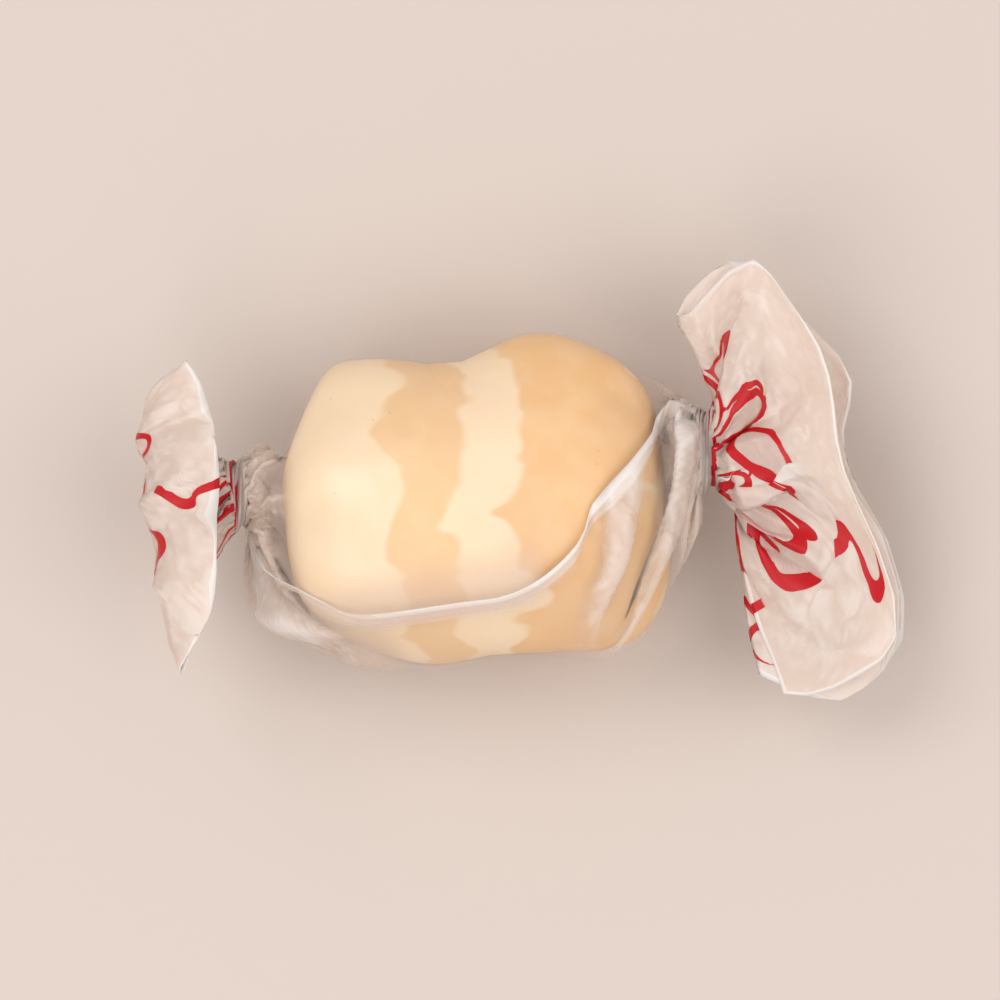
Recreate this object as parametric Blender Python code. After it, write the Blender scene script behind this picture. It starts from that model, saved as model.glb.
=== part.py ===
"""A piece of salt water taffy, rolled and twisted up in one sheet of waxed paper.

Run it with Blender, or from Blender's text editor. Lengths are in metres and +Z is up.
X runs from twist to twist, and the origin is the middle of the flat spot that the sweet
rests on. Angles round the sweet are measured from +Y, through the top.
"""

import math

import bpy
import numpy as np

MM = 0.001
TURN = 2 * math.pi

# Driving dimensions of the sweet
TAFFY_LENGTH = 27.5 * MM
TAFFY_WIDTH = 22.0 * MM
TAFFY_HEIGHT = 18.4 * MM
TAFFY_ROUNDNESS = 2.6  # of its cross-section: 2 is an ellipse, more is boxier
TAFFY_END_ROUNDNESS = 4.2  # of its long section
TAFFY_TAPER = 0.02  # how much wider its right end is
FLAT_CRISPNESS = 12  # of the edges round the flats that the wrapping has pressed
REST_SAG = 0.8 * MM  # depth of the flat that its own weight has pressed

# Driving dimensions of the paper
PAPER = 0.3 * MM  # thickness
PAPER_GAP = 0.4 * MM  # air between the sweet and the paper, and between two layers
OVERLAP = math.radians(75)  # how far the sheet laps over its own edge
EDGE_LEFT = math.radians(142)  # where the free edge lies at the left twist,
EDGE_MIDDLE = math.radians(133)  # halfway along,
EDGE_RIGHT = math.radians(62)  # and at the right twist
EDGE_BEND = 2.1  # how late it turns from the one to the next: 1 is a straight helix
LIP = 1.1 * MM  # how far the free edge stands off
LIP_WIDTH = 0.5  # of the overlap
POCKET = 0.4 * MM  # how far the lapped layer bulges under it
EDGE_REACH = (-0.06, 0.0, 0.06)  # angles within which it stays outside the sweet's highest point
SETTLE_START = 1.15  # overlaps from the free edge to where the lapped layer begins to come in,
SETTLE_END = 1.75  # and to where it lies on the sweet

# The two twists
BODY_HALF = 13.0 * MM  # from the middle to where the paper leaves the sweet
NECK_START = 16.2 * MM
NECK_END = 17.9 * MM
NECK_WAIST = 0.25  # how much narrower it is halfway
NECK_Y = 2.0 * MM
NECK_Z = 9.8 * MM
SHOULDER_TURN = math.radians(24)  # the part of each twist that creeps back over the sweet

# Folds in the gathered paper
FOLDS = 22  # ridges and valleys round the sheet, so an even number
FOLD_SEED = 7
BODY_FOLD = 0.25 * MM
SHOULDER_FOLD = 0.7 * MM
NECK_FOLD = 0.16 * MM
EDGE_RAGGED = 0.5 * MM  # how much further each ridge reaches than the valley beside it

# Rows of the sheet's mesh
BODY_ROWS = 17
SHOULDER_ROWS = 3
NECK_ROWS = 5
TAIL_ROWS = 6

TAFFY_MIDDLE_Z = PAPER + PAPER_GAP + TAFFY_HEIGHT / 2 - REST_SAG

# Dents and swellings of the soft sweet: where along X, where round, how wide, and how much
LUMPS = (
    {"x": -10.5 * MM, "angle": math.radians(8), "long": 3.5 * MM, "wide": 0.60, "rise": 0.07},
    {"x": -0.8 * MM, "angle": math.radians(10), "long": 3.4 * MM, "wide": 0.60, "rise": -0.10},
    {"x": 7.2 * MM, "angle": math.radians(12), "long": 4.2 * MM, "wide": 0.60, "rise": 0.13},
    {"x": -4.5 * MM, "angle": math.radians(188), "long": 3.6 * MM, "wide": 0.60, "rise": 0.16},
    {"x": 3.0 * MM, "angle": math.radians(184), "long": 3.0 * MM, "wide": 0.50, "rise": 0.04},
    {"x": 9.8 * MM, "angle": math.radians(186), "long": 4.0 * MM, "wide": 0.60, "rise": 0.12},
)

# Flats pressed on it: the way each faces, how far out it is at mid-length, and its lean along X
FLATS = (
    {"angle": math.radians(0), "reach": 27.8 * MM, "lean": -1.64},
    {"angle": math.radians(4), "reach": 14.5 * MM, "lean": 0.36},
    {"angle": math.radians(180), "reach": 14.7 * MM, "lean": -0.43},
    {"angle": math.radians(48), "reach": 10.5 * MM, "lean": -0.12},
    {"angle": math.radians(62), "reach": 11.0 * MM, "lean": 0.14},
    {"angle": math.radians(128), "reach": 10.6 * MM, "lean": 0.06},
    {"angle": math.radians(150), "reach": 11.4 * MM, "lean": -0.10},
    {"angle": math.radians(216), "reach": 11.2 * MM, "lean": -0.08},
    {"angle": math.radians(322), "reach": 10.8 * MM, "lean": 0.10},
)

# The flared tails. Each is a flattened trumpet that opens from a neck, whose radius this gives,
# as well as how far the neck is twisted. Pitch and yaw turn the tail up and back, tilt turns its
# broad side about X, and the two spreads are the angles of the fan to either side. The cut edge
# lies at length from the neck, further out at a lobe and less far at a notch. What lies beyond
# the line of the roll is rolled up and over.
FAN_START = 0.8  # of its spread, which a fan already has at the neck
RIGHT_TAIL = {
    "side": 1,
    "edge": EDGE_RIGHT,
    "neck": 2.5 * MM,
    "twist": math.radians(270),
    "pitch": math.radians(8),
    "yaw": 0.0,
    "tilt": math.radians(8),
    "front_spread": math.radians(92),
    "back_spread": math.radians(108),
    "length": 10.6 * MM,
    "lobes": (
        {"at": math.radians(-54), "wide": math.radians(36), "reach": 7.8 * MM},
        {"at": math.radians(-10), "wide": math.radians(15), "reach": -5.6 * MM},
        {"at": math.radians(112), "wide": math.radians(24), "reach": -4.0 * MM},
    ),
    "depth": 0.9 * MM,
    "fold": 0.4 * MM,
    "wave": 1.8 * MM,
    "wave_phase": 0.6,
    "roll": {
        "start": (3.2 * MM, -2.7 * MM),
        "way": math.radians(-40),
        "radius": 2.8 * MM,
        "until": math.radians(-12),
    },
}
LEFT_TAIL = {
    "side": -1,
    "edge": EDGE_LEFT,
    "neck": 2.1 * MM,
    "twist": math.radians(200),
    "pitch": math.radians(10),
    "yaw": math.radians(-6),
    "tilt": math.radians(-12),
    "front_spread": math.radians(48),
    "back_spread": math.radians(34),
    "length": 12.4 * MM,
    "lobes": (
        {"at": math.radians(-42), "wide": math.radians(18), "reach": 1.2 * MM},
        {"at": math.radians(30), "wide": math.radians(14), "reach": 1.0 * MM},
    ),
    "depth": 0.7 * MM,
    "fold": 0.3 * MM,
    "wave": 0.6 * MM,
    "wave_phase": 2.4,
    "roll": {
        "start": (2.6 * MM, 0.0),
        "way": math.radians(-80),
        "radius": 3.0 * MM,
        "until": math.radians(180),
    },
}


def smooth(value):
    """0 below 0, 1 above 1, and an even S between."""
    value = np.clip(value, 0, 1)
    return value * value * (3 - 2 * value)


def angle_between(first, second):
    return np.abs((first - second + math.pi) % TURN - math.pi)


# The sweet -------------------------------------------------------------------------------


def taffy_radius(x, angle):
    """How far the sweet's side is from its middle line."""
    across = np.abs(np.cos(angle)) / (TAFFY_WIDTH / 2)
    up = np.abs(np.sin(angle)) / (TAFFY_HEIGHT / 2)
    section = (across**TAFFY_ROUNDNESS + up**TAFFY_ROUNDNESS) ** (-1 / TAFFY_ROUNDNESS)
    along = np.clip(np.abs(x) / (TAFFY_LENGTH / 2), 0, 1)
    end = (1 - along**TAFFY_END_ROUNDNESS) ** (1 / TAFFY_END_ROUNDNESS)
    lumps = 1 + TAFFY_TAPER * x / (TAFFY_LENGTH / 2)
    for lump in LUMPS:
        far = ((x - lump["x"]) / lump["long"]) ** 2
        far = far + (angle_between(angle, lump["angle"]) / lump["wide"]) ** 2
        lumps = lumps + lump["rise"] * np.exp(-far)
    nearness = (section * lumps / MM) ** -FLAT_CRISPNESS
    for flat in FLATS:
        distance = (flat["reach"] - flat["lean"] * x) / MM
        nearness = nearness + (np.maximum(np.cos(angle - flat["angle"]), 0) / distance) ** FLAT_CRISPNESS
    return nearness ** (-1 / FLAT_CRISPNESS) * MM * end


def body_stations():
    """Where along X the sweet and the paper round it have a ring of points."""
    return np.linspace(-BODY_HALF, BODY_HALF, BODY_ROWS)


def taffy_mesh(sides=34):
    """Rings along X, closed by a point at each end, and pressed flat underneath."""
    tip = TAFFY_LENGTH / 2
    shoulders = BODY_HALF + (tip - BODY_HALF) * np.array([0.45, 0.8, 0.96])
    stations = np.concatenate([-shoulders[::-1], body_stations(), shoulders])
    rings = len(stations)
    angles = np.arange(sides) * TURN / sides
    x, angle = np.meshgrid(stations, angles, indexing="ij")
    radius = taffy_radius(x, angle)
    height = np.maximum(TAFFY_MIDDLE_Z + radius * np.sin(angle), PAPER + PAPER_GAP)
    ring_points = np.stack([x, radius * np.cos(angle), height], -1).reshape(-1, 3)
    tips = [(-tip, 0, TAFFY_MIDDLE_Z), (tip, 0, TAFFY_MIDDLE_Z)]
    left_tip, right_tip = len(ring_points), len(ring_points) + 1
    last = (rings - 1) * sides
    faces = []
    for side in range(sides):
        after = (side + 1) % sides
        faces.append((left_tip, after, side))
        faces.append((right_tip, last + side, last + after))
        for ring in range(rings - 1):
            low, high = ring * sides, (ring + 1) * sides
            faces.append((low + side, low + after, high + after, high + side))
    return np.vstack([ring_points, tips]), faces


# The sheet -------------------------------------------------------------------------------
#
# A point of the sheet has a phase, which runs round the sweet from the free edge (0) to the
# hidden edge (a turn and the overlap), a row along the sweet, and an offset outwards.


def fold_marks():
    """Phases of the ridges and valleys within one turn, and how high each stands."""
    draw = np.random.default_rng(FOLD_SEED)
    step = TURN / FOLDS
    phases = (np.arange(FOLDS) + draw.uniform(-0.28, 0.28, FOLDS)) * step
    heights = np.where(np.arange(FOLDS) % 2 == 0, 1.0, -1.0) * draw.uniform(0.55, 1.0, FOLDS)
    return phases % TURN, heights


def fold_height(phase):
    """Straight-sided pleats, the same for both layers where the sheet laps over itself."""
    phases, heights = fold_marks()
    return np.interp(phase % TURN, phases, heights, period=TURN)


def sheet_phases():
    """Columns of the mesh: every fold, a point between each two, and both edges."""
    phases = np.sort(fold_marks()[0])
    gaps = np.diff(np.append(phases, phases[0] + TURN))
    one_turn = np.sort(np.concatenate([phases, phases + gaps / 2]) % TURN)
    both = np.concatenate([one_turn, one_turn + TURN])
    last = TURN + OVERLAP
    inside = both[(both > 0.04) & (both < last - 0.04)]
    return np.concatenate([[0.0], inside, [last]])


def edge_angle(x):
    """Angle round the sweet at which the free edge lies."""
    end = EDGE_RIGHT if x > 0 else EDGE_LEFT
    return EDGE_MIDDLE + (end - EDGE_MIDDLE) * (abs(x) / BODY_HALF) ** EDGE_BEND


def layer_offset(phase, bulge):
    """The lapped part lies outside the other layer, and bulges off it by a share of its most."""
    share = phase / OVERLAP
    lapped = smooth((SETTLE_END - share) / (SETTLE_END - SETTLE_START))
    pocket = POCKET * np.sin(math.pi * np.clip(share / SETTLE_START, 0, 1))
    lip = LIP * np.clip(1 - share / LIP_WIDTH, 0, 1)
    return lapped * (PAPER + PAPER_GAP) + bulge * (pocket + lip)


def body_ring(x, phase, outward):
    """The paper round the sweet. outward is 0 on its inner face and PAPER on its outer one."""
    angle = phase + edge_angle(x)
    bulge = smooth(1.15 - (x / BODY_HALF) ** 2)
    offset = layer_offset(phase, bulge) + PAPER_GAP + outward
    pleat = BODY_FOLD * (x / BODY_HALF) ** 4 * (1 + fold_height(phase))
    stretched = np.max([taffy_radius(x, angle + aside) for aside in EDGE_REACH], axis=0)
    radius = stretched + offset + pleat
    height = np.maximum(TAFFY_MIDDLE_Z + radius * np.sin(angle), PAPER - outward)
    return np.stack([x + 0 * phase, radius * np.cos(angle), height], -1)


def tail_axes(tail, share):
    """Forward, broad and thin directions of a tail, turned from X by a share of its pitch and yaw."""
    pitch, yaw = tail["pitch"] * share, tail["yaw"] * share
    forward = np.array([math.cos(pitch) * math.cos(yaw), math.cos(pitch) * math.sin(yaw), math.sin(pitch)])
    broad = np.array([-math.sin(yaw), math.cos(yaw), 0.0])
    return forward, broad, np.cross(forward, broad)


def tail_angle(phase, tail, turned):
    """Angle round a twist, which carries on the way that the free edge already winds."""
    return phase + tail["edge"] - tail["side"] * (SHOULDER_TURN + tail["twist"] * turned)


def neck_middle(tail, share):
    """Centre of the neck, which bends towards the tail."""
    centre = np.array([NECK_START, NECK_Y, NECK_Z])
    return centre + (NECK_END - NECK_START) * share * tail_axes(tail, share / 2)[0]


def neck_ring(tail, share, phase, outward):
    """The twist: a tight ring whose folds run on as helices."""
    _, broad, thin = tail_axes(tail, share)
    angle = tail_angle(phase, tail, share)
    waist = 1 - NECK_WAIST * math.sin(math.pi * share)
    radius = tail["neck"] * waist + layer_offset(phase, 0) + outward + NECK_FOLD * fold_height(phase)
    return (
        neck_middle(tail, share)
        + (radius * np.cos(angle))[..., None] * broad
        + (radius * np.sin(angle))[..., None] * thin
    )


def rolled_up(flat, turn, roll):
    """Roll up and over what lies beyond a line. flat holds places forward, broad and thin."""
    along = np.array([math.cos(roll["way"]), math.sin(roll["way"])])
    across = np.array([-along[1], along[0]])
    off = flat[:, :2] - roll["start"]
    far, beyond = off @ along, off @ across
    inner = roll["radius"] - flat[:, 2]
    curl = np.clip(beyond, 0, None) / roll["radius"]
    shifted = np.minimum(beyond, 0) + inner * np.sin(curl)
    place = roll["start"] + far[:, None] * along + shifted[:, None] * across
    made = np.column_stack([place, roll["radius"] - inner * np.cos(curl)])
    rolls = smooth((roll["until"] - turn) / math.radians(12)) * (beyond > 0)
    return flat + (made - flat) * rolls[:, None]


def tail_ring(tail, share, phase, outward):
    """The flare: a flattened trumpet of two plies, opening from the neck to the cut edge."""
    forward, broad, thin = tail_axes(tail, 1)
    around = tail_angle(phase, tail, 1) - tail["tilt"]
    cosine, sine = math.cos(tail["tilt"]), math.sin(tail["tilt"])
    broad, thin = broad * cosine + thin * sine, thin * cosine - broad * sine
    offset = layer_offset(phase, 0) + outward
    folded = 1 - 2 * angle_between(around, 0) / math.pi  # 1 at one side fold, -1 at the other
    sweep = 0.8 * folded + 0.2 * np.cos(around)
    turn = sweep * np.where(sweep < 0, tail["front_spread"], tail["back_spread"])
    length = tail["length"] + EDGE_RAGGED * fold_height(phase)
    for lobe in tail["lobes"]:
        length = length + lobe["reach"] * np.exp(-(((turn - lobe["at"]) / lobe["wide"]) ** 2))
    reach = share * length
    turn = turn * (FAN_START + (1 - FAN_START) * share)
    turn = turn + sweep * offset / (reach + 4 * tail["neck"])
    puff = tail["neck"] + (tail["depth"] - tail["neck"]) * smooth(1.6 * share) + offset
    puff = puff + (NECK_FOLD * (1 - share) + tail["fold"] * share) * fold_height(phase)
    wave = tail["wave"] * share**2 * np.sin(2.6 * turn + tail["wave_phase"])
    side = (tail["neck"] + offset) * np.cos(around)
    lift = puff * np.sin(around) * np.abs(np.sin(around)) ** (-0.25 * share) + wave
    flat = np.column_stack([reach * np.cos(turn), reach * np.sin(turn) + side, lift])
    flat = rolled_up(flat, turn, tail["roll"])
    return neck_middle(tail, 1) + flat @ np.array([forward, broad, thin])


def shoulder_ring(tail, share, phase, outward):
    """Straight, pleated paper from the sweet's shoulder to the neck."""
    body = body_ring(BODY_HALF * tail["side"], phase, outward)
    body[..., 0] *= tail["side"]
    neck = neck_ring(tail, 0, phase, outward)
    middle = np.array([0, NECK_Y * share, TAFFY_MIDDLE_Z + (NECK_Z - TAFFY_MIDDLE_Z) * share])
    ring = body + (neck - body) * share
    away = (ring - middle) * (0, 1, 1)
    away = away / np.linalg.norm(away, axis=-1, keepdims=True)
    pleat = SHOULDER_FOLD * math.sin(math.pi * share**0.7) * fold_height(phase)
    return ring + away * pleat[..., None]


def end_rings(tail, phase, outward):
    """Rows of one end, from the shoulder out to the cut edge, in the sheet's own order."""
    rings = [
        shoulder_ring(tail, (row + 1) / (SHOULDER_ROWS + 1), phase, outward)
        for row in range(SHOULDER_ROWS)
    ]
    rings += [
        neck_ring(tail, row / NECK_ROWS, phase, outward) for row in range(NECK_ROWS + 1)
    ]
    rings += [
        tail_ring(tail, ((row + 1) / TAIL_ROWS) ** 1.25, phase, outward)
        for row in range(TAIL_ROWS)
    ]
    return [ring * (tail["side"], 1, 1) for ring in rings]


def sheet_face(outward):
    """One face of the paper as a grid of points: rows from the left edge to the right one."""
    phase = sheet_phases()
    left = end_rings(LEFT_TAIL, phase, outward)[::-1]
    middle = [body_ring(x, phase, outward) for x in body_stations()]
    return np.array(left + middle + end_rings(RIGHT_TAIL, phase, outward))


def sheet_mesh():
    """Both faces of the paper, joined by strips along its four cut edges."""
    inner, outer = sheet_face(0.0), sheet_face(PAPER)
    rows, columns = inner.shape[:2]
    index = np.arange(rows * columns).reshape(rows, columns)
    over = index + rows * columns
    faces = []
    for row in range(rows - 1):
        for column in range(columns - 1):
            cell = [(row, column), (row, column + 1), (row + 1, column + 1), (row + 1, column)]
            faces.append([over[at] for at in cell])
            faces.append([index[at] for at in reversed(cell)])
    rim = [(0, column) for column in range(columns)]
    rim += [(row, columns - 1) for row in range(1, rows)]
    rim += [(rows - 1, column) for column in range(columns - 2, -1, -1)]
    rim += [(row, 0) for row in range(rows - 2, 0, -1)]
    for here, following in zip(rim, rim[1:] + rim[:1]):
        faces.append([index[here], index[following], over[following], over[here]])
    return np.vstack([inner.reshape(-1, 3), outer.reshape(-1, 3)]), faces


# Materials and objects -------------------------------------------------------------------


def material(name, colour, roughness, alpha=1.0):
    made = bpy.data.materials.new(name)
    made.use_nodes = True
    shader = made.node_tree.nodes["Principled BSDF"]
    shader.inputs["Base Color"].default_value = (*colour, 1)
    shader.inputs["Roughness"].default_value = roughness
    shader.inputs["Alpha"].default_value = alpha
    made.diffuse_color = (*colour, alpha)
    return made


def solid(name, points, faces, finish):
    """One named object from points and faces, with its faces turned outwards."""
    mesh = bpy.data.meshes.new(name)
    mesh.from_pydata([tuple(map(float, p)) for p in points], [], [tuple(map(int, f)) for f in faces])
    mesh.materials.append(finish)
    mesh.validate()
    made = bpy.data.objects.new(name, mesh)
    bpy.context.scene.collection.objects.link(made)
    return made


def main():
    for old in list(bpy.data.objects):
        bpy.data.objects.remove(old)
    striped_sugar = material("striped sugar", (0.93, 0.70, 0.42), 0.45)
    waxed_paper = material("waxed paper", (0.90, 0.84, 0.80), 0.35, alpha=0.55)
    taffy = solid("taffy", *taffy_mesh(), striped_sugar)
    taffy.data.shade_smooth()
    solid("wrapper", *sheet_mesh(), waxed_paper)


main()
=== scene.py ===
"""A piece of salt water taffy in its twisted sheet of waxed paper, finished on the CAD frame.

Run it with Blender. Lengths are in metres and +Z is up. X runs from twist to twist, and angles
round the sweet are measured from +Y, through the top.
"""

import math

import bpy
import numpy as np
from mathutils import Matrix, Vector


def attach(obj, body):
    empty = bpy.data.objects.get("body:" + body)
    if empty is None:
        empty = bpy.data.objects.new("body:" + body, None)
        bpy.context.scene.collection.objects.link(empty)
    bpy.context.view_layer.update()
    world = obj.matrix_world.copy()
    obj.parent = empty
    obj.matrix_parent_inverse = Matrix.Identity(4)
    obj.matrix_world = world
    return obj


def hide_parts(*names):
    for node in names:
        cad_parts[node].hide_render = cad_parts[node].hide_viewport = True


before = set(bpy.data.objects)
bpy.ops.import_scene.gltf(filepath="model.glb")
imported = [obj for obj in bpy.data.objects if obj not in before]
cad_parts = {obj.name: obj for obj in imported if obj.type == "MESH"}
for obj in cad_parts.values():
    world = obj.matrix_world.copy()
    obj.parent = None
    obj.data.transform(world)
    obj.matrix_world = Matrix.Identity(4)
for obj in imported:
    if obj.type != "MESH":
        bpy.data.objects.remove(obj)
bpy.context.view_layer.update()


# The sweet -----------------------------------------------------------------------------------
# A soft barrel of pulled sugar, cut from a striped rope and pressed a little out of round by the
# wrapping. It sags on a small flat. One rule gives its side, and the paper is laid by the same.

MM = 0.001
SWEET = {
    "Length": 27.5 * MM,
    "Width": 22.0 * MM,
    "Height": 18.4 * MM,
    "Middle": 9.1 * MM,
    "Flat": 0.7 * MM,
    "Taper": 0.02,
}
SWEET_BOXINESS = 2.6
SWEET_END = 4.2
# Swellings and dents: place along X, angle, length, width as an angle, and rise
SWEET_LUMPS = (
    (-10.5 * MM, math.radians(8), 3.5 * MM, 0.60, 0.07),
    (-0.8 * MM, math.radians(10), 3.4 * MM, 0.60, -0.10),
    (7.2 * MM, math.radians(12), 4.2 * MM, 0.60, 0.13),
    (-4.5 * MM, math.radians(188), 3.6 * MM, 0.60, 0.16),
    (3.0 * MM, math.radians(184), 3.0 * MM, 0.50, 0.04),
    (9.8 * MM, math.radians(186), 4.0 * MM, 0.60, 0.12),
    (11.0 * MM, math.radians(44), 1.5 * MM, 0.16, -0.10),
    (12.0 * MM, math.radians(24), 2.2 * MM, 0.14, 0.07),
    (-12.3 * MM, math.radians(100), 1.6 * MM, 0.30, -0.06),
    (3.5 * MM, math.radians(118), 2.4 * MM, 0.22, -0.025),
    (-8.0 * MM, math.radians(62), 3.0 * MM, 0.25, -0.03),
)
# Flats pressed on it: the way each faces, how far out it is at mid-length, and how it leans along X
SWEET_FLATS = (
    (math.radians(0), 27.8 * MM, -1.64),
    (math.radians(4), 14.5 * MM, 0.36),
    (math.radians(180), 14.7 * MM, -0.43),
    (math.radians(48), 10.5 * MM, -0.12),
    (math.radians(62), 11.0 * MM, 0.14),
    (math.radians(128), 10.6 * MM, 0.06),
    (math.radians(150), 11.4 * MM, -0.10),
    (math.radians(216), 11.2 * MM, -0.08),
    (math.radians(322), 10.8 * MM, 0.10),
)
FLAT_CRISPNESS = 12


class Wire:
    """A socket in a node tree. Sums and products of wires add the nodes that work them out."""

    def __init__(self, tree, socket=None):
        self.tree = tree
        self.socket = socket

    def node(self, kind, settings=None, inputs=None, output=0):
        """Add a node: its settings first, then the values or wires of its sockets."""
        made = self.tree.nodes.new(kind)
        for name, value in (settings or {}).items():
            setattr(made, name, value)
        for name, value in (inputs or {}).items():
            if isinstance(value, Wire):
                self.tree.links.new(value.socket, made.inputs[name])
            else:
                made.inputs[name].default_value = value
        return Wire(self.tree, made.outputs[output] if len(made.outputs) else None)

    def __getitem__(self, output):
        """Another output of the node that this wire comes from."""
        return Wire(self.tree, self.socket.node.outputs[output])

    def maths(self, operation, *values):
        return self.node("ShaderNodeMath", {"operation": operation}, dict(enumerate(values)))

    def __add__(self, other):
        return self.maths("ADD", self, other)

    def __sub__(self, other):
        return self.maths("SUBTRACT", self, other)

    def __rsub__(self, other):
        return self.maths("SUBTRACT", other, self)

    def __mul__(self, other):
        return self.maths("MULTIPLY", self, other)

    def __truediv__(self, other):
        return self.maths("DIVIDE", self, other)

    def __pow__(self, other):
        return self.maths("POWER", self, other)

    def __rpow__(self, other):
        return self.maths("POWER", other, self)

    def __neg__(self):
        return self * -1

    def __abs__(self):
        return self.maths("ABSOLUTE", self)

    __radd__ = __add__
    __rmul__ = __mul__

    def between(self, low, high, start=0.0, end=1.0):
        """An even S from start, where this is low, to end, where it is high."""
        settings = {"interpolation_type": "SMOOTHSTEP"}
        inputs = {"Value": self, "From Min": low, "From Max": high, "To Min": start, "To Max": end}
        return self.node("ShaderNodeMapRange", settings, inputs)

    def blend(self, first, second):
        """A colour from first to second, as this goes from 0 to 1."""
        return self.node("ShaderNodeMix", {"data_type": "RGBA"}, {0: self, 6: first, 7: second}, 2)

    def noise(self, scale, detail=2.0, **more):
        """Cloudy noise at this place, from about 0.25 to 0.75."""
        inputs = {"Vector": self, "Scale": scale, "Detail": detail, **more}
        return self.node("ShaderNodeTexNoise", {}, inputs)


def sweet_radius(x, cosine, sine, size=SWEET):
    """How far the sweet's side is from its middle line at mid-length: of numbers or of wires."""
    across = abs(cosine / (size["Width"] / 2)) ** SWEET_BOXINESS
    up = abs(sine / (size["Height"] / 2)) ** SWEET_BOXINESS
    swell = 1 + size["Taper"] * x / (size["Length"] / 2)
    for at, angle, long, wide, rise in SWEET_LUMPS:
        off = ((x - at) / long) ** 2
        off = off + ((cosine - math.cos(angle)) / wide) ** 2
        off = off + ((sine - math.sin(angle)) / wide) ** 2
        swell = swell + rise * math.e ** (-off)
    nearness = (swell * (across + up) ** (-1 / SWEET_BOXINESS) / MM) ** -FLAT_CRISPNESS
    for facing, reach, lean in SWEET_FLATS:
        towards = cosine * math.cos(facing) + sine * math.sin(facing)
        distance = (reach - lean * x) / MM
        nearness = nearness + ((towards + abs(towards)) / 2 / distance) ** FLAT_CRISPNESS
    return nearness ** (-1 / FLAT_CRISPNESS) * MM


def new_piece(name, mesh=None):
    made = bpy.data.objects.new(name, mesh or bpy.data.meshes.new(name))
    bpy.context.scene.collection.objects.link(made)
    return made


sweet_rule = bpy.data.node_groups.new("sweet rule", "GeometryNodeTree")
for name in SWEET:
    sweet_rule.interface.new_socket(name, in_out="INPUT", socket_type="NodeSocketFloat")
sweet_rule.interface.new_socket("Finish", in_out="INPUT", socket_type="NodeSocketMaterial")
sweet_rule.interface.new_socket("Sweet", in_out="OUTPUT", socket_type="NodeSocketGeometry")
rule = Wire(sweet_rule)
size = rule.node("NodeGroupInput")
ball = rule.node("GeometryNodeMeshUVSphere", {}, {"Segments": 168, "Rings": 120, "Radius": 1.0})
spot = rule.node("ShaderNodeSeparateXYZ", {}, {0: rule.node("GeometryNodeInputPosition")})
angle = rule.maths("ARCTAN2", spot["Y"], spot["X"])
cosine = rule.maths("COSINE", angle)
sine = rule.maths("SINE", angle)
along = rule.maths("SIGN", spot["Z"]) * abs(spot["Z"]) ** (2 / SWEET_END)
inward = (spot["X"] ** 2 + spot["Y"] ** 2) ** (1 / SWEET_END)
x = along * (size["Length"] / 2)
radius = sweet_radius(x, cosine, sine, size) * inward
height = rule.maths("MAXIMUM", size["Middle"] + radius * sine, size["Flat"])
moved = rule.node("ShaderNodeCombineXYZ", {}, {0: x, 1: radius * cosine, 2: height})
shaped = rule.node("GeometryNodeSetPosition", {}, {"Geometry": ball, "Position": moved})
smoothed = rule.node("GeometryNodeSetShadeSmooth", {}, {"Geometry": shaped})
single = rule.node("GeometryNodeRealizeInstances", {}, {"Geometry": smoothed})
coated = rule.node("GeometryNodeSetMaterial", {}, {"Geometry": single, "Material": size["Finish"]})
rule.node("NodeGroupOutput", {}, {0: coated})

sugar = bpy.data.materials.new("striped sugar")
sugar.use_nodes = True
sugar.node_tree.nodes.clear()
look = Wire(sugar.node_tree)
place = look.node("ShaderNodeTexCoord", output="Object")
mm = look.node("ShaderNodeVectorMath", {"operation": "SCALE"}, {0: place, "Scale": 1000.0})
lane = look.node("ShaderNodeVectorMath", {"operation": "MULTIPLY"}, {0: mm, 1: (0.45, 1.0, 1.0)})
# The stripes run round the rope, and pulling has drawn teeth and tongues along their edges
drift = (lane.noise(0.11, 1.0) - 0.5) * 9.0
teeth = (lane.noise(0.30, 1.0, Distortion=0.5) - 0.5) * 4.2
grain = (mm.noise(1.6, 2.0) - 0.5) * 0.35
stripe = look.node("ShaderNodeSeparateXYZ", {}, {0: mm})["X"] + drift + teeth + grain
CREAM = (0.955, 0.735, 0.500, 1)
TAN = (0.870, 0.560, 0.290, 1)
DEEP_TAN = (0.865, 0.515, 0.235, 1)
TOASTED = (0.93, 0.66, 0.39, 1)
SPECK_BROWN = (0.36, 0.17, 0.06, 1)
# Two tan bands on the cream, by where each starts and ends along the rope. The second is deeper
first = stripe.between(-5.9, -5.2) * stripe.between(-1.0, -1.7)
second = stripe.between(2.2, 2.9) * stripe.between(13.2, 12.4)
tan = first + second
cloudy = mm.noise(0.35, 2.0).between(0.35, 0.7)
band = tan.blend(CREAM, second.blend(TAN, DEEP_TAN))
warmed = (cloudy * 0.35).blend(band, TOASTED)
speck = mm.node("ShaderNodeTexVoronoi", {}, {"Vector": mm, "Scale": 0.55}, "Distance")
dark = speck.between(0.075, 0.05) * mm.noise(0.3).between(0.5, 0.56)
coloured = (dark * 0.22).blend(warmed, SPECK_BROWN)
relief = mm.noise(0.55, 2.0)
bumped = look.node("ShaderNodeBump", {}, {"Height": relief, "Strength": 0.22, "Distance": 0.0003})
sugar_settings = {
    "Base Color": coloured,
    "Roughness": cloudy.between(0.0, 1.0, 0.36, 0.52),
    "Normal": bumped,
    "Coat Weight": 0.12,
    "Coat Roughness": 0.3,
}
sugar_shader = look.node("ShaderNodeBsdfPrincipled", {}, sugar_settings)
look.node("ShaderNodeOutputMaterial", {}, {"Surface": sugar_shader})

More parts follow.
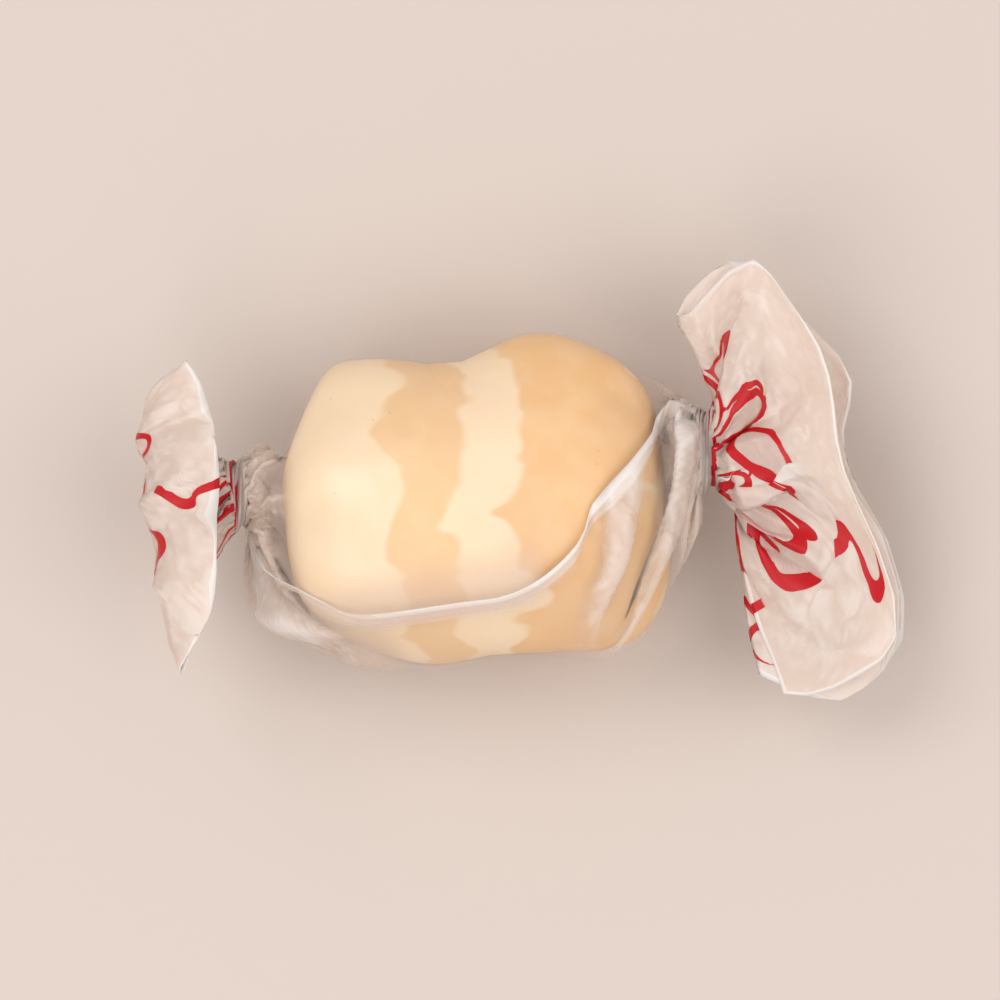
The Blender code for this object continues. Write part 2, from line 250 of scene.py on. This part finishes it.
sweet = new_piece("sweet")
by_rule = sweet.modifiers.new("sweet rule", "NODES")
by_rule.node_group = sweet_rule
for item in sweet_rule.interface.items_tree:
    if item.in_out == "INPUT":
        by_rule[item.identifier] = SWEET.get(item.name, sugar)
evaluated = sweet.evaluated_get(bpy.context.evaluated_depsgraph_get())
sweet.data = bpy.data.meshes.new_from_object(evaluated)
sweet.data.name = "sweet"
sweet.modifiers.clear()
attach(sweet, "root")
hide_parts("taffy")


# The waxed paper -----------------------------------------------------------------------------
# One sheet about 80 mm square, rolled round the sweet so that it laps over its own edge, and
# twisted at both ends. A point of it has a phase round the sweet, from the free edge to the
# hidden one, and a row from the left cut edge to the right one. Work is in millimetres.

TURN = 2 * math.pi
SHEET_WIDE = 80.0
OVERLAP = math.radians(75)
COLUMNS = 213
FREE_EDGE = {"left": math.radians(142), "middle": math.radians(133), "right": math.radians(62)}
EDGE_BEND = 2.1
LAYER = 0.22  # from one layer to the next
CLING = 0.07  # from the sweet to the paper that touches it
PAPER_THICK = 0.08
ROW_STEP = 0.36  # from one row of the flat sheet to the next
FLOOR_CLEAR = 0.06
COARSE_FLOOR_CLEAR = 0.1
SWEET_TIP = 13.75  # half the sweet's length
PAST_TIP = 14.0
SWEET_FLAT = 0.7  # from the floor to the flat that the sweet sags on
BODY_HALF = 13.0
BODY_ROWS = 91
SHOULDER_ROWS = 21
NECK_ROWS = 8
SHOULDER_TURN = math.radians(40)
RIGHT_TAIL = {
    "side": 1,
    "edge": FREE_EDGE["right"],
    "twist": math.radians(254),
    "neck": 3.2,
    "pouch": 0.6,
    "rows": 42,
    "pitch": math.radians(8),
    "yaw": 0.0,
    "tilt": math.radians(8),
    "spread": (math.radians(92), math.radians(108)),
    "length": 10.6,
    "lobes": (
        (math.radians(-54), math.radians(36), 7.8),
        (math.radians(-10), math.radians(15), -5.6),
        (math.radians(112), math.radians(24), -4.0),
    ),
    "depth": 0.9,
    "wave": 1.8,
    "wave_phase": 0.6,
    "curl": 1.0,
    # The front of the long lobe is rolled into a cone
    "roll": {
        "start": (3.2, -2.7),
        "way": math.radians(-40),
        "radius": 2.2,
        "growth": 0.07,
        "until": math.radians(-12),
    },
}
LEFT_TAIL = {
    "side": -1,
    "edge": FREE_EDGE["left"],
    "twist": math.radians(184),
    "neck": 2.7,
    "pouch": 2.6,
    "rows": 34,
    "pitch": math.radians(10),
    "yaw": math.radians(-6),
    "tilt": math.radians(-12),
    "spread": (math.radians(48), math.radians(34)),
    "length": 12.4,
    "lobes": (
        (math.radians(-42), math.radians(18), 1.2),
        (math.radians(30), math.radians(14), 1.0),
    ),
    "depth": 0.8,
    "wave": 0.6,
    "wave_phase": 2.4,
    "curl": 0.6,
    # The whole fan is rolled up and back over itself, more widely at its back
    "roll": {
        "start": (2.6, 0.0),
        "way": math.radians(-80),
        "radius": 2.8,
        "growth": -0.06,
        "until": math.radians(180),
    },
}
NECK_START = 16.2
NECK_END = 17.9
NECK_WAIST = 0.25
NECK_MIDDLE = np.array([0.0, 2.0, 9.8])
BODY_MIDDLE = np.array([0.0, 0.0, SWEET["Middle"] / MM])


def smooth(value):
    value = np.clip(value, 0, 1)
    return value * value * (3 - 2 * value)


def fold_marks(count, seed):
    """Phases of the ridges and valleys in one turn, and how high each stands."""
    draw = np.random.default_rng(seed)
    phases = (np.arange(count) + draw.uniform(-0.28, 0.28, count)) * TURN / count
    heights = np.where(np.arange(count) % 2 == 0, 1.0, -1.0) * draw.uniform(0.55, 1.0, count)
    return phases % TURN, heights


BROAD_FOLDS = fold_marks(22, 7)
FINE_FOLDS = fold_marks(44, 3)
TAIL_FOLDS = fold_marks(12, 21)


def folds(phase, marks):
    """Straight-sided pleats, the same for both layers where the sheet laps over itself."""
    return np.interp(phase % TURN, *marks, period=TURN)


def ripple(first, second, seed, waves=6, fastest=3.0):
    """A soft, uneven field over two coordinates, between about -1 and 1."""
    draw = np.random.default_rng(seed)
    total = 0
    for _ in range(waves):
        one, two = draw.normal(0, fastest / 2, 2)
        total = total + np.sin(one * first + two * second + draw.uniform(0, TURN))
    return total / math.sqrt(waves)


def facets(first, second, around, seed):
    """A height in flat triangles with sharp creases between, like paper that has been crumpled.

    first is an angle, with so many cells around a turn, and second counts cells outright.
    """
    heights = np.random.default_rng(seed).uniform(-1, 1, (around, 99))
    first = first / TURN * around + 0.3 * ripple(first * 0, second * 2.1, seed + 1)
    second = second + 0.3 * np.sin(first * TURN / around * 3 + seed) + 40
    column, row = np.floor(first).astype(int), np.floor(second).astype(int)
    one, two = first - column, second - row
    low, right = heights[column % around, row], heights[(column + 1) % around, row]
    up, far = heights[column % around, row + 1], heights[(column + 1) % around, row + 1]
    near_half = low + one * (right - low) + two * (up - low)
    far_half = far + (1 - one) * (up - far) + (1 - two) * (right - far)
    return np.where(one + two < 1, near_half, far_half)


def edge_angle(x):
    end = np.where(x > 0, FREE_EDGE["right"], FREE_EDGE["left"])
    return FREE_EDGE["middle"] + (end - FREE_EDGE["middle"]) * (abs(x) / BODY_HALF) ** EDGE_BEND


def lapped(phase):
    """How far the sheet is from the sweet because another layer lies under it."""
    return LAYER * smooth((1.75 - phase / OVERLAP) / 0.6)


def sweet_side(x, angle):
    along = np.clip(np.abs(x) / SWEET_TIP, 0, 1)
    wide = sweet_radius(x * MM, np.cos(angle), np.sin(angle)) / MM
    return wide * (1 - along**SWEET_END) ** (1 / SWEET_END)


def body_ring(x, phase):
    """The paper round the sweet. It clings, but for a pocket on either side of its free edge."""
    angle = phase + edge_angle(x)
    share = phase / OVERLAP
    middle = smooth(1.15 - (x / BODY_HALF) ** 2)
    pocket = 0.16 * middle + 1.3 * smooth((-x - 4) / 7) + 0.9 * smooth((x - 4) / 7)
    pocket = pocket * np.sin(math.pi * np.clip(share / 1.15, 0, 1))
    lip = 0.75 * np.clip(1 - share / 0.2, 0, 1) * middle
    before = (TURN - phase) / 0.75
    patch = 0.95 * smooth(1 - before) * smooth((phase - TURN + 0.9) * 9) * smooth((7 - x) / 4)
    patch = patch * smooth((TURN + 0.25 - phase) / 0.15)
    loose = 0.16 * smooth(ripple(x / 5, phase * 2, 11) - 0.35)
    pleat = 0.25 * (x / BODY_HALF) ** 4 * (1 + folds(phase, BROAD_FOLDS))
    radius = sweet_side(x, angle) + CLING + lapped(phase) + pocket + lip + patch + loose + pleat
    height = BODY_MIDDLE[2] + radius * np.sin(angle)
    height = np.maximum(height, SWEET_FLAT - CLING - lapped(phase))
    return np.stack([x + 0 * phase, radius * np.cos(angle), height], -1)


def tail_axes(tail, share):
    """Forward, broad and thin directions of a tail, turned by a share of its pitch and yaw."""
    pitch, yaw = tail["pitch"] * share, tail["yaw"] * share
    flat = math.cos(pitch)
    forward = np.array([flat * math.cos(yaw), flat * math.sin(yaw), math.sin(pitch)])
    broad = np.array([-math.sin(yaw), math.cos(yaw), 0.0])
    return forward, broad, np.cross(forward, broad)


def tail_angle(tail, phase, turned):
    return phase + tail["edge"] - tail["side"] * (SHOULDER_TURN + tail["twist"] * turned)


def neck_middle(tail, share):
    forward = tail_axes(tail, share / 2)[0]
    return NECK_MIDDLE + (NECK_START, 0, 0) + (NECK_END - NECK_START) * share * forward


def neck_ring(tail, share, phase):
    """The twist: a tight ring whose folds run on as helices."""
    _, broad, thin = tail_axes(tail, share)
    angle = tail_angle(tail, phase, share)
    waist = 1 - NECK_WAIST * math.sin(math.pi * share)
    radius = tail["neck"] * waist + lapped(phase) + 0.2 * folds(phase, BROAD_FOLDS)
    turned = (radius * np.cos(angle))[:, None] * broad + (radius * np.sin(angle))[:, None] * thin
    return neck_middle(tail, share) + turned


def shoulder_ring(tail, share, phase):
    """Straight, pleated paper from the sweet's shoulder to the neck."""
    body = body_ring(BODY_HALF * tail["side"], phase)
    body[:, 0] *= tail["side"]
    ring = body + (neck_ring(tail, 0, phase) - body) * share
    away = (ring - (BODY_MIDDLE + (NECK_MIDDLE - BODY_MIDDLE) * share)) * (0, 1, 1)
    away = away / np.linalg.norm(away, axis=-1, keepdims=True)
    arch = math.sin(math.pi * share**0.7)
    pleat = arch * (0.25 * folds(phase, BROAD_FOLDS) + 0.4 * folds(phase, TAIL_FOLDS))
    pleat = pleat + 0.6 * math.sin(math.pi * share**0.6) * facets(phase, share * 2, 11, 41)
    pouch = np.exp(-(((phase - math.radians(48)) / 0.6) ** 2)) * arch * tail["pouch"]
    ring = ring + np.stack([pouch, 0 * pouch, 0 * pouch], -1) * 0.9
    return ring + away * (pleat + pouch)[:, None]


def rolled_up(flat, turn, roll):
    """Roll up the part of a tail beyond a line in its plane, into a cone that widens along it.

    flat holds places forward, broad and thin, and turn their angles in the fan.
    """
    along = np.array([math.cos(roll["way"]), math.sin(roll["way"])])
    across = np.array([-along[1], along[0]])
    off = flat[:, :2] - roll["start"]
    far, beyond = off @ along, off @ across
    radius = np.maximum(roll["radius"] + roll["growth"] * far, 0.8)
    inner = radius - np.minimum(flat[:, 2], 0.8 * radius)
    curl = np.clip(beyond, 0, None) / radius
    shifted = np.minimum(beyond, 0) + inner * np.sin(curl)
    place = roll["start"] + far[:, None] * along + shifted[:, None] * across
    made = np.column_stack([place, radius - inner * np.cos(curl)])
    rolls = smooth((roll["until"] - turn) / math.radians(12)) * (beyond > 0)
    return flat + (made - flat) * rolls[:, None]


def tail_ring(tail, share, phase):
    """The flare: a flattened trumpet of two plies, opening from the neck to the cut edge."""
    forward, broad, thin = tail_axes(tail, 1)
    around = tail_angle(tail, phase, 1) - tail["tilt"] - tail["side"] * 0.4 * (1 - (1 - share) ** 3)
    cosine, sine = math.cos(tail["tilt"]), math.sin(tail["tilt"])
    broad, thin = broad * cosine + thin * sine, thin * cosine - broad * sine
    folded = 1 - 2 * np.abs((around + math.pi) % TURN - math.pi) / math.pi
    sweep = 0.8 * folded + 0.2 * np.cos(around)
    turn = sweep * np.where(sweep < 0, *tail["spread"])
    length = tail["length"] + 0.3 * folds(phase, BROAD_FOLDS) + 0.7 * folds(phase, TAIL_FOLDS)
    for at, wide, reach in tail["lobes"]:
        length = length + reach * np.exp(-(((turn - at) / wide) ** 2))
    reach = share * length
    turn = turn * (0.8 + 0.2 * share)
    puff = tail["neck"] + (tail["depth"] - tail["neck"]) * smooth(share * 1.6) + lapped(phase)
    puff = puff + 0.2 * folds(phase, BROAD_FOLDS)
    puff = puff + 4.0 * share**0.5 * (1 - share) ** 1.2 * folds(phase, TAIL_FOLDS)
    puff = puff + 0.4 * share * facets(phase, share * length / 4 + 3 * tail["side"], 12, 31)
    puff = puff + tail["curl"] * smooth((reach - length + 3.5) / 3.5) ** 2 * ripple(phase, 0, 17)
    wave = tail["wave"] * share**2 * np.sin(2.6 * turn + tail["wave_phase"])
    side = (tail["neck"] + lapped(phase)) * np.cos(around)
    lift = puff * np.sin(around) * np.abs(np.sin(around)) ** (-0.25 * share) + wave
    flat = np.stack([reach * np.cos(turn), reach * np.sin(turn) + side, lift], -1)
    flat = rolled_up(flat, turn, tail["roll"])
    return neck_middle(tail, 1) + flat @ np.array([forward, broad, thin])


def end_rings(tail, phase):
    """Rows of one end, from the shoulder out to the cut edge."""
    steps = np.arange(1, SHOULDER_ROWS + 1) / (SHOULDER_ROWS + 1)
    rings = [shoulder_ring(tail, share, phase) for share in steps]
    rings += [neck_ring(tail, share, phase) for share in np.linspace(0, 1, NECK_ROWS)]
    steps = np.arange(1, tail["rows"] + 1) / tail["rows"]
    rings += [tail_ring(tail, share, phase) for share in steps]
    return [ring * (tail["side"], 1, 1) for ring in rings]


def sheet_normals(points):
    """Outward unit normals of the sheet's grid of points."""
    normals = np.cross(np.gradient(points, axis=0), np.gradient(points, axis=1))
    return -normals / (np.linalg.norm(normals, axis=-1, keepdims=True) + 1e-9)


phase = np.linspace(0, TURN + OVERLAP, COLUMNS)
stations = np.linspace(-BODY_HALF, BODY_HALF, BODY_ROWS)
left = end_rings(LEFT_TAIL, phase)[::-1]
middle = [body_ring(x, phase) for x in stations]
right = end_rings(RIGHT_TAIL, phase)
points = np.array(left + middle + right)
ROWS = len(points)
# Distance of each row from the nearer neck, outwards positive
row_from_left = np.arange(ROWS) - (len(left) - SHOULDER_ROWS - NECK_ROWS / 2)
row_from_right = (len(left) + BODY_ROWS + SHOULDER_ROWS + NECK_ROWS / 2) - np.arange(ROWS)


def distance_to_sweet(points):
    """How far each point is outside the sweet, about."""
    x, y, z = points[..., 0], points[..., 1], points[..., 2] - BODY_MIDDLE[2]
    along = np.abs(x) / SWEET_TIP
    reach = np.hypot(y, z) + 1e-9
    wide = sweet_radius(np.clip(x, -PAST_TIP, PAST_TIP) * MM, y / reach, z / reach) / MM
    out = (along**SWEET_END + (reach / wide) ** SWEET_END) ** (1 / SWEET_END)
    return (out - 1) * np.minimum(wide, 10)


def push_off_sweet(points, clear):
    """Move the points that are inside the sweet out through its side, to clear of it."""
    x, y, z = points[..., 0], points[..., 1], points[..., 2] - BODY_MIDDLE[2]
    reach = np.hypot(y, z) + 1e-9
    wide = sweet_radius(np.clip(x, -PAST_TIP, PAST_TIP) * MM, y / reach, z / reach) / MM + clear
    tip = SWEET_TIP + clear
    out = ((np.abs(x) / tip) ** SWEET_END + (reach / wide) ** SWEET_END) ** (1 / SWEET_END) + 1e-9
    lengthwise = np.sign(x) * (np.abs(x) / tip / out) ** (SWEET_END - 1) / tip
    sideways = (reach / wide / out) ** (SWEET_END - 1) / wide
    slope = np.stack([lengthwise, sideways * y / reach, sideways * z / reach], -1)
    depth = np.clip(1 - out, 0, 0.2) / (slope**2).sum(-1)
    return points + slope * depth[..., None]


def between_points(field, row, column):
    """The field at places between its points, as two flat triangles in each cell."""
    row = np.clip(row, 0, field.shape[0] - 1.001)
    column = np.clip(column, 0, field.shape[1] - 1.001)
    top, left = row.astype(int), column.astype(int)
    down, over = (row - top)[..., None], (column - left)[..., None]
    here, right = field[top, left], field[top, left + 1]
    below, far = field[top + 1, left], field[top + 1, left + 1]
    near_half = here + over * (right - here) + down * (below - here)
    far_half = far + (1 - over) * (below - far) + (1 - down) * (right - far)
    return np.where(over + down < 1, near_half, far_half)


def wander(row, column):
    """How far the lines of the coarse grid stray, in its own cells, with none along the edges."""
    inside = np.minimum(row, ROWS - 1 - row) * np.minimum(column, COLUMNS - 1 - column)
    share = 0.4 * np.clip(inside / 60, 0, 1)
    return share * ripple(row / 6, column / 6, 61), share * ripple(row / 6, column / 6, 62)


def blurred(field):
    """The field with each point averaged with its neighbours."""
    tall = np.pad(field, ((1, 1), (0, 0), (0, 0)), "edge")
    field = (tall[:-2] + tall[1:-1] + tall[2:]) / 3
    broad = np.pad(field, ((0, 0), (1, 1), (0, 0)), "edge")
    return (broad[:, :-2] + broad[:, 1:-1] + broad[:, 2:]) / 3


def pairs(rows, columns):
    """Slices of all points, and of those that lie so many rows and columns on from them."""
    first = (slice(None, -rows or None), slice(max(0, -columns), -columns if columns > 0 else None))
    second = (slice(rows, None), slice(max(0, columns), columns if columns < 0 else None))
    return first, second


def straighten(points, rows, columns, give):
    """Stiffness against bending: each point moves towards the middle of two beside it."""
    high, wide = points.shape[:2]
    before = points[: high - 2 * rows, : wide - 2 * columns]
    here = points[rows : high - rows, columns : wide - columns]
    after = points[2 * rows :, 2 * columns :]
    shove = (before + after - 2 * here) * (give / 4)
    points[rows : high - rows, columns : wide - columns] += shove
    points[: high - 2 * rows, : wide - 2 * columns] -= shove / 2
    points[2 * rows :, 2 * columns :] -= shove / 2


def settled(points, sheet, narrow, held, rounds):
    """Let the sheet find its own folds: it keeps its lengths, lies off the sweet and bends."""
    designed = points.copy()
    links = []
    for rows, columns, give in ((0, 1, 0.4), (1, 0, 0.4), (1, 1, 0.16), (1, -1, 0.16)):
        first, second = pairs(rows, columns)
        share = (narrow[first] + narrow[second]) / 2
        apart = sheet[second] - sheet[first]
        rest = np.hypot(apart[..., 0] * share[..., 0], apart[..., 1])[..., None]
        links.append((first, second, rest, give))
    for turn in range(rounds):
        for first, second, rest, give in links:
            offset = points[second] - points[first]
            length = np.sqrt((offset**2).sum(-1, keepdims=True)) + 1e-9
            shove = offset * (1 - rest / length) * give
            points[first] += shove
            points[second] -= shove
        straighten(points, 1, 0, 0.22)
        straighten(points, 0, 1, 0.16)
        drift = designed - points
        points += drift * held + blurred(blurred(drift)) * 0.06
        if turn % 4 == 3:
            points = push_off_sweet(points, CLING)
            points[..., 2] = np.maximum(points[..., 2], COARSE_FLOOR_CLEAR)
    return points


# The sheet is crumpled on a coarse grid, whose cells become the flat facets between creases
COARSE = 4
SETTLING_ROUNDS = 900
from_neck = np.abs(np.where(np.arange(ROWS) < ROWS / 2, row_from_left, row_from_right))[:, None]
x = points[..., 0]
near_edge = smooth((1.5 - phase) / 0.4)
loose = near_edge * np.maximum(smooth((x - 5) / 4), smooth((-x - 8) / 3))
on_body = smooth((13.4 - np.abs(x)) / 1.6) * (1 - loose)
in_neck = np.clip((NECK_ROWS / 2 + 3 - from_neck) / 3, 0, 1) + 0 * phase
held = np.maximum(on_body, in_neck)
cell = SHEET_WIDE / (COLUMNS - 1)
made = np.linalg.norm(np.gradient(points, axis=1), axis=-1) / cell
spare = 1.5 - 0.38 * smooth(from_neck / 22)
narrow = np.minimum(made * spare, 1)
narrow = narrow * (1 - on_body) + made * on_body * (1 + 0.1 * loose)
lengthwise = np.linalg.norm(np.gradient(points, axis=0), axis=-1)
for _ in range(20):
    lengthwise[:, 1:-1] = (lengthwise[:, :-2] + lengthwise[:, 1:-1] + lengthwise[:, 2:]) / 3
sheet = np.stack([cell * np.arange(COLUMNS) + 0 * x, np.cumsum(lengthwise, axis=0)], -1)
row, column = np.mgrid[0:ROWS:COARSE, 0:COLUMNS:COARSE].astype(float)
coarse_row, coarse_column = row / COARSE, column / COARSE
for _ in range(8):
    by_row, by_column = wander(row, column)
    row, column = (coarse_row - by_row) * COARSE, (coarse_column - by_column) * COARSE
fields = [between_points(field, row, column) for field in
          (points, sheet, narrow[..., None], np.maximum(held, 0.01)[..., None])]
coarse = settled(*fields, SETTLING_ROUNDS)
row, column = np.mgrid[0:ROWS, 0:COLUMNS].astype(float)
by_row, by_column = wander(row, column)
crumpled = between_points(coarse, row / COARSE + by_row, column / COARSE + by_column)
crumpled = crumpled + (blurred(crumpled) - crumpled) * 0.3
points = crumpled + (points - crumpled) * held[..., None]
points = push_off_sweet(points, CLING)

# Fine pleats take up the width to spare where the sheet is drawn together, close to each neck
gathered = 0.25 * smooth((11 - from_neck) / 8)
shift = phase + 0.06 * ripple(np.arange(ROWS)[:, None] / 14, phase, 5)
points = points + sheet_normals(points) * (gathered * folds(shift, FINE_FOLDS))[..., None]
points[..., 2] = np.maximum(points[..., 2], FLOOR_CLEAR)


def closed_sheet(points, thick):
    """A mesh of two faces, thick apart, joined along the four cut edges."""
    rows, columns = points.shape[:2]
    normals = sheet_normals(points)
    both = np.stack([points - normals * thick / 2, points + normals * thick / 2])
    index = np.arange(rows * columns).reshape(rows, columns)
    corner = [index[:-1, :-1], index[:-1, 1:], index[1:, 1:], index[1:, :-1]]
    under_faces = np.stack(corner[::-1], -1).reshape(-1, 4)
    over_faces = under_faces[:, ::-1] + rows * columns
    rim = np.concatenate([index[0], index[1:, -1], index[-1, -2::-1], index[-2:0:-1, 0]])
    after = np.roll(rim, -1)
    skirt = np.stack([rim, after, after + rows * columns, rim + rows * columns], -1)
    mesh = bpy.data.meshes.new("waxed paper")
    faces = np.concatenate([under_faces, over_faces, skirt])
    mesh.from_pydata((both.reshape(-1, 3) * MM).tolist(), [], faces.tolist())
    mesh.shade_smooth()
    return mesh


def store(mesh, name, values, kind="FLOAT"):
    """Keep a number, or a place, for each point of the sheet on both of its faces."""
    field = "value" if kind == "FLOAT" else "vector"
    made = mesh.attributes.new(name, kind, "POINT")
    made.data.foreach_set(field, np.concatenate([values, values]).astype(np.float32).ravel())


paper_mesh = closed_sheet(points, PAPER_THICK)
steps = np.arange(ROWS)[:, None] + 0 * phase
wide = SHEET_WIDE * phase / phase[-1] + 0 * steps
past_neck = np.where(steps < ROWS / 2, -row_from_left[:, None], -row_from_right[:, None])
past_neck = past_neck * ROW_STEP
bend = np.linalg.norm(points - blurred(points), axis=-1)
crease = np.clip((bend - 0.03) / 0.07, 0, 1)
rim = np.minimum(wide, SHEET_WIDE - wide)
rim = np.minimum(rim, np.minimum(steps, ROWS - 1 - steps) * ROW_STEP)
faces_out = np.concatenate([np.zeros(points.shape[:2]), np.ones(points.shape[:2])])
store(paper_mesh, "gap", distance_to_sweet(points))
store(paper_mesh, "crease", crease)
store(paper_mesh, "rim", rim)
store(paper_mesh, "past_neck", past_neck)
store(paper_mesh, "sheet", np.stack([wide, steps * ROW_STEP, 0 * wide], -1), "FLOAT_VECTOR")
store(paper_mesh, "uneven", ripple(wide / 3, steps * 0.12, 77))
outer = paper_mesh.attributes.new("outer", "FLOAT", "POINT")
outer.data.foreach_set("value", faces_out.astype(np.float32).ravel())

waxed = bpy.data.materials.new("waxed paper")
waxed.use_nodes = True
waxed.node_tree.nodes.clear()
look = Wire(waxed.node_tree)


def kept(name, output="Fac"):
    """A number or place that was stored on the paper."""
    return look.node("ShaderNodeAttribute", {"attribute_name": name}, {}, output)


gap = kept("gap")
crease = kept("crease")
rim = kept("rim")
sheet = kept("sheet", "Vector")
past_neck = kept("past_neck")
outer = kept("outer")
flat = look.node("ShaderNodeSeparateXYZ", {}, {0: sheet})
uneven = kept("uneven")
lifted = gap.between(0.5, 1.4)
creased = crease * gap.between(0.2, 1.1, 0.05, 1.0)
shoulder = past_neck.between(-13.0, -9.5) * past_neck.between(0.5, -1.0)
# On the shoulders, the lifted paper near the free edge is made more opaque and its colour is
# whitened: painted light that lifts the shade these shoulders lie in, between the sweet and the
# tails.
painted_light_collar = shoulder * flat["X"].between(7.5, 5.5) * lifted
milky = 0.03 + 0.32 * lifted + 0.24 * creased + 0.16 * gap.between(1.3, 4.0) + 0.02 * uneven
milky = milky + 0.25 * painted_light_collar
# The cut edges and the lip by the free edge are made more opaque. Their colour and that of the
# creases is whitened: painted highlights, with the collar's painted light added.
edge_line = rim.between(0.32, 0.14)
lip = flat["X"].between(1.35, 1.0) * 0.35 + flat["X"].between(0.55, 0.35) * 0.4
opacity = look.maths("MINIMUM", milky + 0.5 * edge_line + lip, 0.95)
painted_light = look.maths("MINIMUM", edge_line + lip + creased * 0.35 + painted_light_collar * 0.5, 1.0)

# Generic print: rows of red scrolls, each a loop with one thick side, tied by a running wave
PRINT_PERIOD = 14.0
across = look.maths("WRAP", flat["X"] + uneven, PRINT_PERIOD, 0.0)
out = past_neck + uneven * 0.3


def inside_oval(centre, size):
    wide_share = (across - centre[0]) / size[0]
    high_share = (out - centre[1]) / size[1]
    return look.maths("LESS_THAN", wide_share * wide_share + high_share * high_share, 1.0)


wave = look.maths("SINE", across * (TURN / (PRINT_PERIOD / 2)))
ink = look.maths("LESS_THAN", abs(out - 4.4 - 3.2 * wave), 0.45)
tint = 0.0
for centre, size, stroke in (
    ((3.5, 3.8), (3.3, 3.8), 1.05),
    ((9.2, 6.6), (2.6, 3.0), 0.90),
    ((11.6, 1.6), (2.0, 2.2), 0.75),
):
    whole = inside_oval(centre, size)
    hole = inside_oval((centre[0] - stroke * 0.35, centre[1] + stroke * 0.2),
                       (size[0] - stroke, size[1] - stroke))
    ink = look.maths("MAXIMUM", ink * (1 - hole), whole - hole * whole)
    tint = look.maths("MAXIMUM", tint, whole)
# Further out, one short wavy stroke for every two repeats of the print
far = look.maths("WRAP", flat["X"] - 6.0, 2 * PRINT_PERIOD, 0.0)
flick = abs(far - 9.0 - look.maths("SINE", past_neck * 1.5))
flick = look.maths("LESS_THAN", flick, 0.5) * look.maths("LESS_THAN", abs(past_neck - 12.5), 2.6)
ink = look.maths("MAXIMUM", ink * past_neck.between(-3.4, -3.0), flick)
strength = outer.between(0, 1, 0.35, 1.0)
PAPER_WHITE = (0.96, 0.80, 0.70, 1)
# The white of the painted highlights and of the collar's painted light
PAINTED_HIGHLIGHT_WHITE = (1.0, 0.94, 0.90, 1)
PRINT_PINK = (0.90, 0.42, 0.40, 1)
PRINT_RED = (0.62, 0.003, 0.010, 1)
# The paper's own colour, whitened by the painted highlights and the collar's painted light
paper_with_painted_light = painted_light.blend(PAPER_WHITE, PAINTED_HIGHLIGHT_WHITE)
base = (tint * strength * 0.16).blend(paper_with_painted_light, PRINT_PINK)
printed = (ink * strength).blend(base, PRINT_RED)
paper_settings = {
    "Base Color": printed,
    "Roughness": uneven.between(-1.0, 1.0, 0.28, 0.42),
    "Alpha": look.maths("MAXIMUM", opacity, ink * strength * 0.95),
    "Specular IOR Level": 0.4,
}
paper_shader = look.node("ShaderNodeBsdfPrincipled", {}, paper_settings)
through = look.node("ShaderNodeBsdfTranslucent", {}, {"Color": printed})
mixed = look.node("ShaderNodeMixShader", {}, {0: opacity * 0.22, 1: paper_shader, 2: through})
look.node("ShaderNodeOutputMaterial", {}, {"Surface": mixed})

paper_mesh.materials.append(waxed)
paper = new_piece("wrapper_paper", paper_mesh)
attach(paper, "root")
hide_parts("wrapper")


# Floor, lights and camera --------------------------------------------------------------------
# A warm matt floor under a soft light from the back left, with a weaker one at either side and a
# bright room all round. The camera looks down, turned so that the sweet lies slightly askew.

floor_mesh = bpy.data.meshes.new("floor")
floor_mesh.from_pydata([(-2, -2, 0), (2, -2, 0), (2, 2, 0), (-2, 2, 0)], [], [(0, 1, 2, 3)])
floor = new_piece("floor", floor_mesh)
pale = bpy.data.materials.new("pale floor")
pale.use_nodes = True
pale_shader = pale.node_tree.nodes["Principled BSDF"]
pale_shader.inputs["Base Color"].default_value = (0.68, 0.58, 0.52, 1)
pale_shader.inputs["Roughness"].default_value = 0.8
floor_mesh.materials.append(pale)

room = bpy.data.worlds.new("bright room")
room.use_nodes = True
room.node_tree.nodes["Background"].inputs["Color"].default_value = (1.0, 0.98, 0.96, 1)
room.node_tree.nodes["Background"].inputs["Strength"].default_value = 0.54
bpy.context.scene.world = room
bpy.context.scene.view_settings.view_transform = "Standard"
bpy.context.scene.cycles.transparent_max_bounces = 12
bpy.context.scene.cycles.max_bounces = 4
bpy.context.scene.cycles.diffuse_bounces = 2

for name, place, wide, power in (
    ("key", (-0.26, 0.24, 0.52), 0.35, 1.15),
    ("left fill", (-0.20, -0.28, 0.48), 0.40, 0.9),
    ("right fill", (0.28, -0.08, 0.48), 0.40, 0.9),
):
    light = bpy.data.lights.new(name, "AREA")
    light.size = wide
    light.energy = power
    lamp = bpy.data.objects.new(name, light)
    lamp.location = place
    lamp.rotation_euler = (-Vector(place)).to_track_quat("-Z", "Y").to_euler()
    bpy.context.scene.collection.objects.link(lamp)

CAMERA_FAR = 0.45
CAMERA_TILT = math.radians(3)
CAMERA_ROLL = math.radians(-5.5)
AIM = Vector((1.8 * MM, -0.2 * MM, 10 * MM))
VIEW_WIDE = 0.072
SENSOR_WIDE = 36
lens = bpy.data.cameras.new("camera")
lens.sensor_width = SENSOR_WIDE
lens.lens = SENSOR_WIDE * CAMERA_FAR / VIEW_WIDE
camera = bpy.data.objects.new("camera", lens)
back = Vector((0, -math.sin(CAMERA_TILT), math.cos(CAMERA_TILT))) * CAMERA_FAR
turned = Matrix.Rotation(CAMERA_TILT, 4, "X") @ Matrix.Rotation(CAMERA_ROLL, 4, "Z")
camera.matrix_world = Matrix.Translation(AIM + back) @ turned
bpy.context.scene.collection.objects.link(camera)
bpy.context.scene.camera = camera
